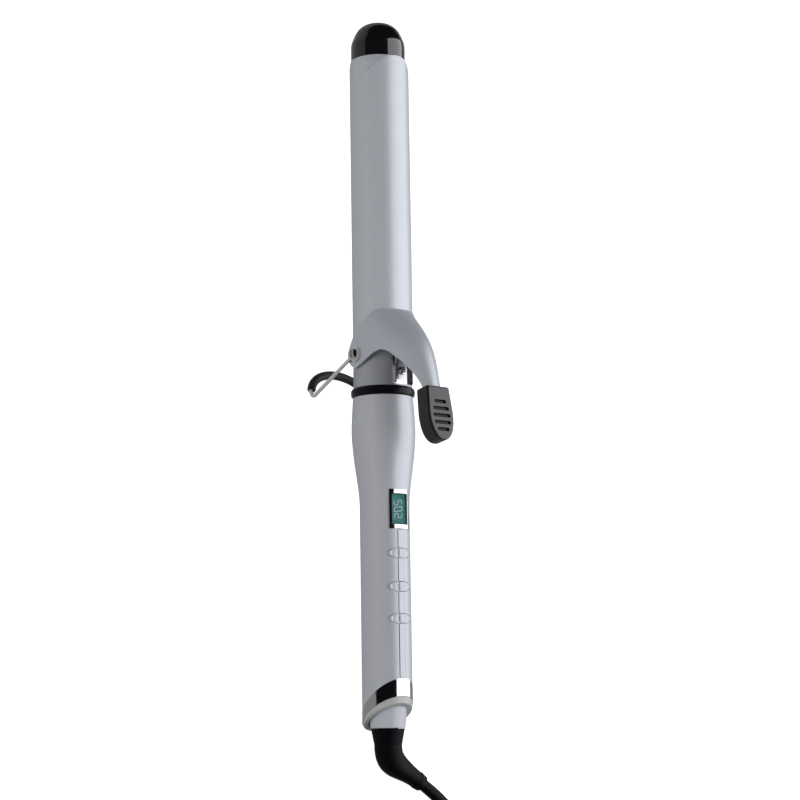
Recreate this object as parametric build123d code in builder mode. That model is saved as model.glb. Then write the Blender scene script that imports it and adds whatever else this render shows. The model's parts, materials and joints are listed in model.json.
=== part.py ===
"""Curling iron with a sprung hair clamp, a fold-down wire stand, a control handle and a swivel cord.

The iron is drawn straight along +X in its own frame (tip at +X, clamp lever at +Z), then laid on
its stand and its handle end, as it stands on a table. Units are millimetres, +Z is up, and the
origin is under the middle of the iron, on the table.
"""
from build123d import *
from math import atan2, asin, cos, degrees, hypot, pi, radians, sin, sqrt, tan
import os

os.makedirs("parts", exist_ok=True)

# ---------------------------------------------------------------- driving dimensions
BARREL_R = 15.95            # 32 mm class barrel
BARREL_WALL = 1.0
BARREL_START = -19.8        # the barrel's handle end
BARREL_TAPER = 159.0
BARREL_END = 164.3
BARREL_END_R = 15.3
BARREL_BORE = BARREL_R - BARREL_WALL

CAP_R = 15.0
CAP_TOP = 186.3
CAP_WALL = 2.0

BLADE_IN = 16.25            # clamp blade, a thin half-round trough over the barrel
BLADE_OUT = 16.85
BLADE_WRAP = 77.0           # degrees either side of the lever
BLADE_SIDE_END = 140.0      # where the straight edges stop
BLADE_TIP = 164.0
BLADE_HEEL = 6.5            # clear of the spring and its channel when the clamp is wide open

PIVOT_X = -2.2              # clamp and stand turn about one line across the barrel
PIN_R = 1.5
PIN_HOLE_R = 1.57
HEAD_R = 3.0
EAR_R = 7.5
EAR_OUT = 17.8
SADDLE_IN = 16.95
SADDLE_SIDE_IN = 16.5
RIVET_X = -12.2
RIVET_R = 1.5
SHEET = 0.9

RING_R = 17.35              # heat ring between barrel and handle
RING_FRONT = -19.8
RING_BACK = -25.0

HANDLE_R = 13.45            # the straight part of the handle
SHELL_WALL = 2.0
SHELL_END_X = -205.0
TRIM_R = 13.55
END_CAP_R = 13.2
TRIM_TOP, TRIM_DROP = -175.8, 22.5      # oblique chrome band: lever side, and how far it falls back
CAP_JOINT, CAP_JOINT_DROP = -184.9, 17.0
END_FACE, END_FACE_DROP = -188.6, 15.2

STRIP_W = 3.4
STRIP_R = 13.75
STRIP_START = -97.2
KEY_X = (-109.8, -127.5, -144.4)
KEY_LONG = 15.0             # across the handle
KEY_SHORT = 5.2             # along the handle
KEY_TRAVEL = 0.6
KEY_GAP = 0.25

BEZEL_X = -86.25
BEZEL_L, BEZEL_W = 21.0, 12.9
WINDOW_L, WINDOW_W = 16.6, 10.3

SWIVEL_FACE = -201.5        # end of the white swivel nub
CONE_END = -210.0
CONE_R1, CONE_R2 = 9.0, 7.4
SWIVEL_GAP = 0.2

WIRE_R = 1.05               # stand wire
EYE_Y = 18.5
EYE_R = 3.9
LEG_Y = 18.95
LEG_START = 0.085           # the leg begins this far down, at the edge of its eye
LEG = (-19.0, -36.4)        # from the pivot to the corner, in X and Z
FOOT_HALF = 20.6
FOOT_BULGE = 17.3
SLEEVE_R = 2.45
SLEEVE_BARE = 5.0           # bare wire left at each corner
CORNER_R = 2.4

CORD_R = 3.25               # 6.5 mm round lead
COIL_COLUMNS, COIL_LAYERS = 4, 2
COIL_TIGHT_R = 19.5         # bend of the innermost turns, three diameters
COIL_STRAIGHT = 26.0        # the straight sides of every turn, in line with the iron


# ---------------------------------------------------------------- the stand wire's route
leg_len = hypot(*LEG)
# the foot's loop stands square to the legs, bulging towards the tip and a little down
bulge_dir = (-LEG[1] / leg_len, LEG[0] / leg_len)
corner_x = PIVOT_X + LEG[0]
corner_z = LEG[1]


def foot_point(across, out):
    """A point of the foot's loop: across the iron, and out from the corners along the bulge."""
    return (corner_x + out * bulge_dir[0], across, corner_z + out * bulge_dir[1])


def arc_radii(points, share=0.45):
    """The largest tangent arc at each corner of a route, from the shorter run beside it."""
    radii = []
    for before, at, after in zip(points, points[1:], points[2:]):
        run_in = Vector(*at) - Vector(*before)
        run_out = Vector(*after) - Vector(*at)
        half_turn = radians(run_in.get_angle(run_out)) / 2
        radii.append(share * min(run_in.length, run_out.length) / tan(half_turn))
    return radii


FOOT_STEP = 36
facet = 1 / cos(radians(FOOT_STEP / 2))
loop_points = [foot_point(FOOT_HALF * facet * cos(radians(a)), FOOT_BULGE * facet * sin(radians(a)))
               for a in range(FOOT_STEP // 2, 180, FOOT_STEP)]
corners = [foot_point(FOOT_HALF, 0), foot_point(-FOOT_HALF, 0)]
eye_left = (PIVOT_X + LEG[0] * LEG_START, LEG_Y, LEG[1] * LEG_START)
eye_right = (eye_left[0], -LEG_Y, eye_left[2])
wire_route = [eye_left, corners[0], *loop_points, corners[1], eye_right]
wire_radii = arc_radii(wire_route)
wire_radii[0] = wire_radii[-1] = CORNER_R
with BuildLine() as wire_path:
    FilletPolyline(*wire_route, radius=wire_radii)
wire_line = wire_path.wires()[0]
foot_apex = wire_line @ 0.5

# ---------------------------------------------------------------- how the iron lies on a table
# it rests on the sleeve's lowest point and on the back edge of the chrome band, opposite the lever
heel_x = CAP_JOINT - CAP_JOINT_DROP
heel_z = -TRIM_R
span = hypot(foot_apex.X - heel_x, foot_apex.Z - heel_z)
slope = degrees(atan2(foot_apex.Z - heel_z, foot_apex.X - heel_x))
tilt = degrees(asin(SLEEVE_R / span)) - slope
axis_height = -(heel_x * sin(radians(tilt)) + heel_z * cos(radians(tilt)))
tip_x = CAP_TOP * cos(radians(tilt))
tail_x = CONE_END * cos(radians(tilt)) - CONE_R2 * sin(radians(tilt))
centre_x = (tip_x + tail_x) / 2
ON_TABLE = Location((-centre_x, 0, axis_height), (0, -tilt, 0))


def hand_over(piece, name, place=ON_TABLE):
    """Lay one finished sub-part on the table and write it."""
    laid = piece.moved(place)
    laid.label = name
    export_step(laid, f"parts/{name}.step")


def to_row(x, y, z):
    """A point of the straight iron, as it lies on the table."""
    return (ON_TABLE * Location((x, y, z))).position


def oblique(top_x, drop):
    """A plane across the handle, at top_x on the lever side and drop further back opposite."""
    return Plane(origin=(top_x - drop / 2, 0, 0), x_dir=(0, 1, 0), z_dir=(HANDLE_R, 0, -drop / 2))


print(f"tilt {tilt:.4f} deg, axis height {axis_height:.4f}, centre_x {centre_x:.4f}")
print("pivot", tuple(to_row(PIVOT_X, 0, 0)), "swivel", tuple(to_row(SWIVEL_FACE, 0, 0)))

# ---------------------------------------------------------------- barrel
with BuildPart() as barrel_tube:
    with BuildSketch(Plane.XZ):
        with BuildLine():
            Polyline((BARREL_TAPER, BARREL_R), (BARREL_START, BARREL_R), (BARREL_START, BARREL_BORE),
                     (BARREL_END, BARREL_BORE), (BARREL_END, BARREL_END_R))
            ThreePointArc((BARREL_TAPER, BARREL_R), (162.0, 15.78), (BARREL_END, BARREL_END_R))
        make_face()
    revolve(axis=Axis.X)
    with Locations((PIVOT_X, 0, 0)):
        Cylinder(PIN_R, 2 * BARREL_R + 2, rotation=(90, 0, 0), mode=Mode.SUBTRACT)
    with Locations((RIVET_X, 0, BARREL_R)):
        Cylinder(RIVET_R, 6, mode=Mode.SUBTRACT)
hand_over(barrel_tube.part, "barrel_tube")

with BuildPart() as tip_cap:
    with BuildSketch(Plane.XZ):
        with BuildLine():
            Polyline((CAP_TOP - CAP_WALL, 0), (CAP_TOP, 0))
            Spline((CAP_TOP, 0), (184.7, 8.3), (181.4, 11.8), (176.3, 14.15), (171.0, CAP_R),
                   tangents=((0, 1), (-1, 0)))
            Polyline((171.0, CAP_R), (BARREL_END, CAP_R), (BARREL_END, BARREL_BORE),
                     (BARREL_END - 9, BARREL_BORE), (BARREL_END - 9, BARREL_BORE - CAP_WALL),
                     (171.0, BARREL_BORE - CAP_WALL))
            Spline((171.0, BARREL_BORE - CAP_WALL), (179.0, 10.4), (CAP_TOP - CAP_WALL, 0),
                   tangents=((1, 0), (0, -1)))
        make_face()
    revolve(axis=Axis.X)
hand_over(tip_cap.part, "tip_cap")

INSULATOR_X = BARREL_END - 12.5
with BuildPart() as tip_insulator:
    with BuildSketch(Plane.YZ.offset(INSULATOR_X)):
        Circle(BARREL_BORE - 0.1)
        with PolarLocations(9, 4):
            Circle(1.6, mode=Mode.SUBTRACT)
    extrude(amount=2.5)
hand_over(tip_insulator.part, "tip_insulator")

# two aluminium half shells press the flat ceramic heater between them, against the barrel
HEATER_START, HEATER_END = 26.0, 146.0
PLATE_T, PLATE_W = 3.2, 16.0
SHELL_R = BARREL_BORE - 0.15
PAD_T = 2.4
for name, side in (("heater_shell_upper", 1), ("heater_shell_lower", -1)):
    with BuildPart() as heater_shell:
        with BuildSketch(Plane.YZ.offset(HEATER_START)):
            Circle(SHELL_R)
            Circle(SHELL_R - 1.8, mode=Mode.SUBTRACT)
            with Locations((0, side * (PLATE_T / 2 + PAD_T / 2))):
                Rectangle(PLATE_W + 4, PAD_T)
            for rib_y in (-6.5, 6.5):
                with Locations((rib_y, side * 7.6)):
                    Rectangle(1.8, 9.6)
            with Locations((0, -side * (SHELL_R - 0.4))):
                Rectangle(2 * SHELL_R + 2, 2 * SHELL_R, mode=Mode.SUBTRACT)
        extrude(amount=HEATER_END - HEATER_START)
    hand_over(heater_shell.part, name)

with BuildPart() as heater_plate:
    with Locations(((HEATER_START + HEATER_END) / 2, 0, 0)):
        Box(HEATER_END - HEATER_START - 6, PLATE_W, PLATE_T)
hand_over(heater_plate.part, "heater_plate")

# a sprung steel clip spreads the half shells at the handle end
with BuildPart() as heater_clip:
    with BuildSketch(Plane.YZ.offset(HEATER_START - 4.2)):
        Circle(SHELL_R - 2.2)
        Circle(SHELL_R - 3.0, mode=Mode.SUBTRACT)
        with Locations((0, -SHELL_R)):
            Rectangle(12, 16, mode=Mode.SUBTRACT)
    extrude(amount=3.6)
hand_over(heater_clip.part, "heater_clip")

with BuildPart() as thermistor:
    with Locations((70, 0, PLATE_T / 2 + PAD_T + 1.5)):
        Cylinder(1.4, 5.0, rotation=(0, 90, 0))
    fillet(thermistor.edges().filter_by(GeomType.CIRCLE), 1.0)
hand_over(thermistor.part, "thermistor")

with BuildPart() as thermal_fuse:
    with Locations((13, 5.0, -5.0)):
        Cylinder(2.0, 11.0, rotation=(0, 90, 0))
    fillet(thermal_fuse.edges().filter_by(GeomType.CIRCLE), 0.8)
hand_over(thermal_fuse.part, "thermal_fuse")

# ---------------------------------------------------------------- what holds the barrel
CARRIER_BORE = 11.2
with BuildPart() as barrel_carrier:
    with BuildSketch(Plane.XZ):
        with BuildLine():
            Polyline((8, BARREL_BORE), (RING_BACK, BARREL_BORE), (RING_BACK, 13.6), (-62, 12.6),
                     (-62, CARRIER_BORE - 0.6), (8, CARRIER_BORE), (8, BARREL_BORE))
        make_face()
    revolve(axis=Axis.X)
    with Locations((PIVOT_X, 0, 0)):
        Cylinder(PIN_R, 2 * BARREL_R + 2, rotation=(90, 0, 0), mode=Mode.SUBTRACT)
    with Locations((-44, 0, -9)):
        Box(12, 40, 12, mode=Mode.SUBTRACT)
hand_over(barrel_carrier.part, "barrel_carrier")

with BuildPart() as heat_ring:
    with BuildSketch(Plane.XZ):
        with BuildLine():
            Polyline((RING_FRONT, BARREL_BORE + 0.05), (RING_FRONT, RING_R), (RING_BACK, RING_R),
                     (RING_BACK, BARREL_BORE + 0.05), close=True)
        make_face()
    revolve(axis=Axis.X)
    outer_edges = heat_ring.edges().filter_by(GeomType.CIRCLE).sort_by(SortBy.RADIUS)[-2:]
    fillet(outer_edges, 2.0)
hand_over(heat_ring.part, "heat_ring")

# ---------------------------------------------------------------- clamp
with BuildPart() as clamp_blade:
    with BuildSketch(Plane.YZ.offset(BLADE_HEEL)):
        Circle(BLADE_OUT)
        Circle(BLADE_IN, mode=Mode.SUBTRACT)
        with BuildLine():
            reach = 40
            wrap = radians(BLADE_WRAP)
            Polyline((0, 0), (reach * sin(wrap), reach * cos(wrap)), (reach, -reach), (-reach, -reach),
                     (-reach * sin(wrap), reach * cos(wrap)), close=True)
        make_face(mode=Mode.SUBTRACT)
    extrude(amount=BLADE_TIP - BLADE_HEEL)
    # the far end is cut to a round tongue, seen from the lever side
    with BuildSketch(Plane.XY):
        half = BLADE_OUT * sin(wrap) + 0.4
        with BuildLine():
            Spline((BLADE_SIDE_END, half), (BLADE_SIDE_END + 11.5, half * 0.93),
                   (BLADE_TIP - 3.2, half * 0.58), (BLADE_TIP, 0),
                   (BLADE_TIP - 3.2, -half * 0.58), (BLADE_SIDE_END + 11.5, -half * 0.93),
                   (BLADE_SIDE_END, -half), tangents=((1, 0), (-1, 0)))
            Polyline((BLADE_SIDE_END, -half), (BLADE_HEEL - 5, -half), (BLADE_HEEL - 5, half),
                     (BLADE_SIDE_END, half))
        make_face()
    extrude(amount=30, mode=Mode.INTERSECT)
hand_over(clamp_blade.part, "clamp_blade")

# the saddle: arch sections that rise from the blade into the lever's horn
STATIONS = (        # x, top, half width
    (21.6, 17.20, 17.20),
    (18.0, 20.10, 17.45),
    (14.0, 24.40, 17.65),
    (8.5, 30.00, EAR_OUT),
    (2.5, 34.90, EAR_OUT),
    (-4.5, 38.80, EAR_OUT),
    (-11.5, 41.60, 17.30),
    (-18.0, 43.70, 16.20),
    (-25.0, 45.50, 15.40),
    (-31.0, 46.40, 14.00),
)
SKIRT = -12.0
TONGUE_AT = (-36.0, 45.6)   # middle of the flat tongue, in X and Z


def arch(x, top, half_width):
    """One closed section of the saddle: upright sides below the axis, half an ellipse above."""
    with BuildSketch(Plane.YZ.offset(x)) as section:
        with BuildLine():
            Polyline((half_width, 0), (half_width, SKIRT), (-half_width, SKIRT), (-half_width, 0))
            EllipticalCenterArc((0, 0), half_width, top, start_angle=0, arc_size=180)
        make_face()
    return section.sketch


outer_arches = [arch(*station) for station in STATIONS]
inner_arches = [arch(x, top - SHEET, half_width - (EAR_OUT - SADDLE_SIDE_IN))
                for x, top, half_width in STATIONS]
with BuildPart() as saddle_hollow:
    loft(inner_arches)

with BuildPart() as clamp_lever:
    loft(outer_arches)
    add(saddle_hollow.part, mode=Mode.SUBTRACT)
    Cylinder(SADDLE_IN, 90, rotation=(0, 90, 0), mode=Mode.SUBTRACT)
    # side view: front edge, ear round the pivot, and the arch cut under the horn
    with BuildSketch(Plane.XZ):
        with BuildLine():
            ear_front = (PIVOT_X + EAR_R * cos(radians(-50)), EAR_R * sin(radians(-50)))
            ear_back = (PIVOT_X + EAR_R * cos(radians(190)), EAR_R * sin(radians(190)))
            Spline((21.5, 13.0), (19.9, 10.6), (16.6, 6.9), (10.6, 0.0), ear_front)
            ThreePointArc(ear_front, (PIVOT_X - 1.2, -sqrt(EAR_R**2 - 1.2**2)), ear_back)
            Spline(ear_back, (-6.2, 7.0), (-3.0, 13.9), (-2.1, 17.9), (-3.6, 22.8), (-6.6, 27.0),
                   (-11.0, 32.0), (-16.5, 36.7), (-24.4, 41.4), (-31.5, 43.6))
            Polyline((-31.5, 43.6), (-31.5, 60), (21.5, 60), (21.5, 13.0))
        make_face()
    extrude(amount=40, both=True, mode=Mode.INTERSECT)
    with Locations((PIVOT_X, 0, 0)):
        Cylinder(PIN_HOLE_R, 60, rotation=(90, 0, 0), mode=Mode.SUBTRACT)
    # flat tongue that the thumb grip is pushed on to
    with BuildSketch(Plane.XZ):
        with Locations(TONGUE_AT):
            Rectangle(17.0, 1.6, rotation=-9)
    extrude(amount=3.6, both=True)
hand_over(clamp_lever.part, "clamp_lever")

GRIP_RISE = 9.0
GRIP_L = 29.4
GRIP_T = 9.4
grip_plane = Plane(origin=(-26.0, 0, 38.2), x_dir=(-cos(radians(GRIP_RISE)), 0, sin(radians(GRIP_RISE))),
                   z_dir=(sin(radians(GRIP_RISE)), 0, cos(radians(GRIP_RISE))))
with BuildPart() as thumb_grip:
    with BuildSketch(grip_plane):
        with BuildLine():
            Polyline((19.0, -8.5), (0, -7.7), (0, 7.7), (19.0, 8.5))
            Spline((19.0, 8.5), (26.2, 6.3), (GRIP_L, 0), (26.2, -6.3), (19.0, -8.5),
                   tangents=((1, 0.042), (-1, 0.042)))
        make_face()
    extrude(amount=GRIP_T)
    fillet(thumb_grip.faces().sort_by(Axis(grip_plane.origin, grip_plane.z_dir))[-1].edges(), 1.0)
    # five finger grooves across the outer face, the first and last shorter
    with BuildSketch(grip_plane.offset(GRIP_T - 1.5)):
        for step, long in enumerate((8.0, 10.8, 11.6, 11.2, 8.0)):
            with Locations((8.6 + 3.8 * step, 0)):
                SlotOverall(long, 2.1, rotation=90)
    extrude(amount=2, mode=Mode.SUBTRACT)
    # pocket for the lever's end and its tongue
    with BuildSketch(Plane.XZ):
        with Locations(TONGUE_AT):
            Rectangle(17.6, 1.8, rotation=-9)
    extrude(amount=3.7, both=True, mode=Mode.SUBTRACT)
    with BuildSketch(Plane.XZ):
        with BuildLine():
            Polyline((-20.0, 39.6), (-20.0, 45.1), (-31.8, 46.8), (-31.8, 40.6), close=True)
        make_face()
    extrude(amount=6.8, both=True, mode=Mode.SUBTRACT)
hand_over(thumb_grip.part, "thumb_grip")

# chrome channel riveted to the barrel under the saddle; it anchors the clamp's leaf spring
CHANNEL_X0, CHANNEL_X1 = -19.2, -5.0
CHANNEL_W = 13.0
with BuildPart() as hinge_bracket:
    with BuildSketch(Plane.YZ.offset(CHANNEL_X0)):
        with Locations((0, BARREL_R - 1.4)):
            Rectangle(CHANNEL_W, 9.6)
        with Locations((0, BARREL_R + 5.6)):
            Rectangle(CHANNEL_W - 2.0, 9.6, mode=Mode.SUBTRACT)
        Circle(BARREL_R + 0.02, mode=Mode.SUBTRACT)
    extrude(amount=CHANNEL_X1 - CHANNEL_X0)
    with Locations((RIVET_X, 0, BARREL_R)):
        Cylinder(RIVET_R, 12, mode=Mode.SUBTRACT)
hand_over(hinge_bracket.part, "hinge_bracket")

CHANNEL_FLOOR = BARREL_R + 0.8
LEAF_T = 0.6
with BuildPart() as clamp_spring:
    with BuildSketch(Plane.XZ):
        with BuildLine() as leaf_line:
            floor_run = Line((-17.0, CHANNEL_FLOOR + LEAF_T / 2), (-4.0, CHANNEL_FLOOR + LEAF_T / 2))
            bend = TangentArc(floor_run @ 1, (-2.6, CHANNEL_FLOOR + LEAF_T / 2 + 6.2), tangent=floor_run % 1)
            Line(bend @ 1, (-8.4, 34.0))
        trace(line_width=LEAF_T)
    extrude(amount=2.8, both=True)
    with Locations((RIVET_X, 0, CHANNEL_FLOOR)):
        Cylinder(RIVET_R, 4, mode=Mode.SUBTRACT)
hand_over(clamp_spring.part, "clamp_spring")

with BuildPart() as bracket_rivet:
    with Locations((RIVET_X, 0, CHANNEL_FLOOR + LEAF_T)):
        Cylinder(2.3, 1.2, align=(Align.CENTER, Align.CENTER, Align.MIN))
    fillet(bracket_rivet.edges().group_by(Axis.Z)[-1], 0.8)
    with Locations((RIVET_X, 0, CHANNEL_FLOOR + LEAF_T)):
        Cylinder(RIVET_R, LEAF_T + 1.4, align=(Align.CENTER, Align.CENTER, Align.MAX))
hand_over(bracket_rivet.part, "bracket_rivet")

# ---------------------------------------------------------------- pivot screws and stand
HEAD_IN = 19.3
for name, side in (("pivot_screw_left", 1), ("pivot_screw_right", -1)):
    with BuildPart() as pivot_screw:
        with BuildSketch(Plane.XY):
            with BuildLine():
                Polyline((0, 11.0), (PIN_R, 11.0), (PIN_R, HEAD_IN), (HEAD_R, HEAD_IN),
                         (HEAD_R, HEAD_IN + 0.7))
                ThreePointArc((HEAD_R, HEAD_IN + 0.7), (HEAD_R * 0.62, HEAD_IN + 1.75), (0, HEAD_IN + 2.2))
                Line((0, HEAD_IN + 2.2), (0, 11.0))
            make_face()
        revolve(axis=Axis.Y)
        with Locations((0, HEAD_IN + 2.2, 0)):
            Box(0.9, 1.3, 3.6, mode=Mode.SUBTRACT)
            Box(3.6, 1.3, 0.9, mode=Mode.SUBTRACT)
    turn = Location((PIVOT_X, 0, 0), (0, 0, 0 if side > 0 else 180))
    hand_over(pivot_screw.part.moved(turn), name)

with BuildPart() as stand_wire:
    with BuildSketch(Plane(origin=wire_line @ 0, z_dir=wire_line % 0)):
        Circle(WIRE_R)
    sweep(path=wire_line)
    for side in (1, -1):
        with Locations((PIVOT_X, side * EYE_Y, 0)):
            Cylinder(EYE_R, 1.2, rotation=(90, 0, 0))
    with Locations((PIVOT_X, 0, 0)):
        Cylinder(PIN_HOLE_R, 60, rotation=(90, 0, 0), mode=Mode.SUBTRACT)
hand_over(stand_wire.part, "stand_wire")

# the sleeve follows the wire, from past one bare corner to the other
to_corner = leg_len * (1 - LEG_START) + SLEEVE_BARE - 0.43 * CORNER_R
bare_share = to_corner / wire_line.length
sleeve_path = wire_line.trim(bare_share, 1 - bare_share)
with BuildPart() as stand_sleeve:
    with BuildSketch(Plane(origin=sleeve_path @ 0, z_dir=sleeve_path % 0)):
        Circle(SLEEVE_R)
        Circle(WIRE_R + 0.02, mode=Mode.SUBTRACT)
    sweep(path=sleeve_path)
hand_over(stand_sleeve.part, "stand_sleeve")

# ---------------------------------------------------------------- handle
HANDLE_PROFILE = (      # x, radius: from the heat ring down to the straight grip
    (RING_BACK, 16.35), (-29.0, 16.62), (-33.5, 16.92), (-42.3, 17.33), (-51.0, 16.95),
    (-59.8, 16.05), (-68.4, 14.90), (-76.5, 13.85), (-84.0, HANDLE_R),
)


def handle_solid(inset, back=SHELL_END_X):
    """The handle's outer shape, or the same shape an inset smaller."""
    with BuildPart() as body:
        with BuildSketch(Plane.XZ):
            with BuildLine():
                curve = Spline(*[(x, r - inset) for x, r in HANDLE_PROFILE],
                               tangents=((-1, 0.06), (-1, 0)))
                Polyline(curve @ 1, (back, HANDLE_R - inset), (back, 0), (RING_BACK, 0), curve @ 0)
            make_face()
        revolve(axis=Axis.X)
    return body.part


handle_outer = handle_solid(0)
handle_inner = handle_solid(SHELL_WALL)

BOSSES = ((-46.0, -9.0), (-112.0, -7.4), (-160.0, -7.4))    # x, z of the screws that join the shells
BOSS_R = 3.2
SCREW_R = 1.25
SEAT_Y = -7.6           # where the screw heads sit


with BuildPart() as bare_shell:
    add(handle_outer)
    add(handle_inner, mode=Mode.SUBTRACT)
    for boss_x, boss_z in BOSSES:
        with Locations((boss_x, 0, boss_z)):
            Cylinder(BOSS_R, 44, rotation=(90, 0, 0))
    add(handle_outer, mode=Mode.INTERSECT)
    split(bisect_by=oblique(TRIM_TOP, TRIM_DROP), keep=Keep.TOP)
    with Locations((BEZEL_X, 0, HANDLE_R)):
        Box(BEZEL_L + 0.1, BEZEL_W + 0.1, 12, mode=Mode.SUBTRACT)
    with Locations(((STRIP_START + TRIM_TOP) / 2, 0, HANDLE_R)):
        Box(STRIP_START - TRIM_TOP + 4, STRIP_W + 0.04, 12, mode=Mode.SUBTRACT)
    for key_x in KEY_X:
        with BuildSketch(Plane.XY.offset(2)):
            with Locations((key_x, 0)):
                Ellipse(KEY_SHORT / 2 + KEY_GAP, KEY_LONG / 2 + KEY_GAP)
        extrude(amount=20, mode=Mode.SUBTRACT)

with BuildPart() as handle_shell_left:
    add(bare_shell.part)
    split(bisect_by=Plane.XZ, keep=Keep.BOTTOM)
    for boss_x, boss_z in BOSSES:
        with Locations((boss_x, 3.9, boss_z)):
            Cylinder(SCREW_R, 8, rotation=(90, 0, 0), mode=Mode.SUBTRACT)
hand_over(handle_shell_left.part, "handle_shell_left")

with BuildPart() as handle_shell_right:
    add(bare_shell.part)
    split(bisect_by=Plane.XZ, keep=Keep.TOP)
    for boss_x, boss_z in BOSSES:
        with Locations((boss_x, -10, boss_z)):
            Cylinder(SCREW_R, 24, rotation=(90, 0, 0), mode=Mode.SUBTRACT)
        with Locations((boss_x, SEAT_Y - 10, boss_z)):
            Cylinder(2.35, 20, rotation=(90, 0, 0), mode=Mode.SUBTRACT)
hand_over(handle_shell_right.part, "handle_shell_right")

with BuildPart() as shell_screws:
    for boss_x, boss_z in BOSSES:
        with Locations((boss_x, SEAT_Y, boss_z)):
            Cylinder(SCREW_R, 14.0, rotation=(90, 0, 0), align=(Align.CENTER, Align.CENTER, Align.MAX))
            Cylinder(2.3, 1.7, rotation=(90, 0, 0), align=(Align.CENTER, Align.CENTER, Align.MIN))
        with Locations((boss_x, SEAT_Y - 1.7, boss_z)):
            Box(2.6, 1.4, 0.6, mode=Mode.SUBTRACT)
            Box(0.6, 1.4, 2.6, mode=Mode.SUBTRACT)
hand_over(shell_screws.part, "shell_screws")

# ---------------------------------------------------------------- control strip and keys
RAIL_LOW, RAIL_HIGH = 10.5, 11.3
strip_middle = (STRIP_START + TRIM_TOP + 0.3) / 2
strip_length = STRIP_START - TRIM_TOP - 0.3
with BuildPart() as control_strip:
    with Locations((strip_middle, 0, RAIL_LOW)):
        Box(strip_length, STRIP_W, 6, align=(Align.CENTER, Align.CENTER, Align.MIN))
    Cylinder(STRIP_R, 400, rotation=(0, 90, 0), mode=Mode.INTERSECT)
    for key_x in KEY_X:
        with BuildSketch(Plane.XY.offset(RAIL_HIGH)):
            with Locations((key_x, 0)):
                Ellipse(KEY_SHORT / 2 + KEY_GAP, KEY_LONG / 2 + KEY_GAP)
        extrude(amount=6, mode=Mode.SUBTRACT)
hand_over(control_strip.part, "control_strip")

KEY_R = 13.42
KEY_SKIN = 1.25
for name, key_x in zip(("key_power", "key_up", "key_down"), KEY_X):
    with BuildPart() as key:
        with BuildSketch(Plane.XY.offset(2)):
            Ellipse(KEY_SHORT / 2, KEY_LONG / 2)
        extrude(amount=14)
        with BuildSketch(Plane.YZ):
            Circle(KEY_R)
            Circle(KEY_R - KEY_SKIN, mode=Mode.SUBTRACT)
        extrude(amount=20, both=True, mode=Mode.INTERSECT)
        # a scoop along the handle leaves a shallow dish on either side of the strip's rib
        with Locations((0, 0, KEY_R + 7.6)):
            Cylinder(8.0, 40, rotation=(90, 0, 0), mode=Mode.SUBTRACT)
        with BuildSketch(Plane.XY.offset(8.8)):
            Rectangle(2.2, 12.4)
        extrude(amount=0.9)
        for leg_y in (-5.2, 5.2):
            with BuildSketch(Plane.XY.offset(9.2)):
                with Locations((0, leg_y)):
                    Rectangle(2.2, 2.0)
            extrude(amount=3.2)
    hand_over(key.part.moved(Location((key_x, 0, 0))), name)

# ---------------------------------------------------------------- display
BEZEL_R = 13.95
LENS_TOP = 12.75
with BuildPart() as display_bezel:
    with Locations((BEZEL_X, 0, 8)):
        Box(BEZEL_L, BEZEL_W, 16)
    with BuildSketch(Plane.YZ.offset(BEZEL_X - 20)):
        Circle(BEZEL_R)
        with Locations((0, -12)):
            Rectangle(60, 42.6, mode=Mode.SUBTRACT)
    extrude(amount=40, mode=Mode.INTERSECT)
    with Locations((BEZEL_X, 0, 10)):
        Box(WINDOW_L, WINDOW_W, 20, mode=Mode.SUBTRACT)
hand_over(display_bezel.part, "display_bezel")

with BuildPart() as display_lens:
    with Locations((BEZEL_X, 0, LENS_TOP)):
        Box(WINDOW_L, WINDOW_W, 1.0, align=(Align.CENTER, Align.CENTER, Align.MAX))
hand_over(display_lens.part, "display_lens")

with BuildPart() as lcd_panel:
    with Locations((BEZEL_X, 0, LENS_TOP - 1.05)):
        Box(WINDOW_L, WINDOW_W, 1.8, align=(Align.CENTER, Align.CENTER, Align.MAX))
hand_over(lcd_panel.part, "lcd_panel")

BOARD_TOP = 4.8
BOARD_T = 1.6
with BuildPart() as lcd_holder:
    with Locations((BEZEL_X, 0, BOARD_TOP)):
        Box(20.0, 12.4, LENS_TOP - 2.85 - BOARD_TOP - 0.65, align=(Align.CENTER, Align.CENTER, Align.MIN))
        Box(15.0, 8.6, 12, mode=Mode.SUBTRACT)
hand_over(lcd_holder.part, "lcd_holder")

# ---------------------------------------------------------------- electronics
BOARD_X0, BOARD_X1 = -168.0, -74.0
with BuildPart() as control_board:
    with Locations(((BOARD_X0 + BOARD_X1) / 2, 0, BOARD_TOP - BOARD_T)):
        Box(BOARD_X1 - BOARD_X0, 18.6, BOARD_T, align=(Align.CENTER, Align.CENTER, Align.MIN))
    with Locations((BOARD_X0 + 5, 0, BOARD_TOP), (BOARD_X1 - 4, 0, BOARD_TOP)):
        Hole(1.0, depth=4)
hand_over(control_board.part, "control_board")

with BuildPart() as tact_switches:
    for key_x in KEY_X:
        with Locations((key_x, 0, BOARD_TOP)):
            Box(6.0, 6.0, 2.4, align=(Align.CENTER, Align.CENTER, Align.MIN))
            Cylinder(1.5, 3.2, align=(Align.CENTER, Align.CENTER, Align.MIN))
hand_over(tact_switches.part, "tact_switches")

BOARD_LOW = BOARD_TOP - BOARD_T
with BuildPart() as triac:
    with Locations((-98.0, -3.0, BOARD_LOW)):
        Box(10.0, 4.5, 10.0, align=(Align.CENTER, Align.CENTER, Align.MAX))
    with Locations((-98.0, 0.2, BOARD_LOW)):
        Box(10.0, 1.9, 12.5, align=(Align.CENTER, Align.CENTER, Align.MAX))
hand_over(triac.part, "triac")

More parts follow.
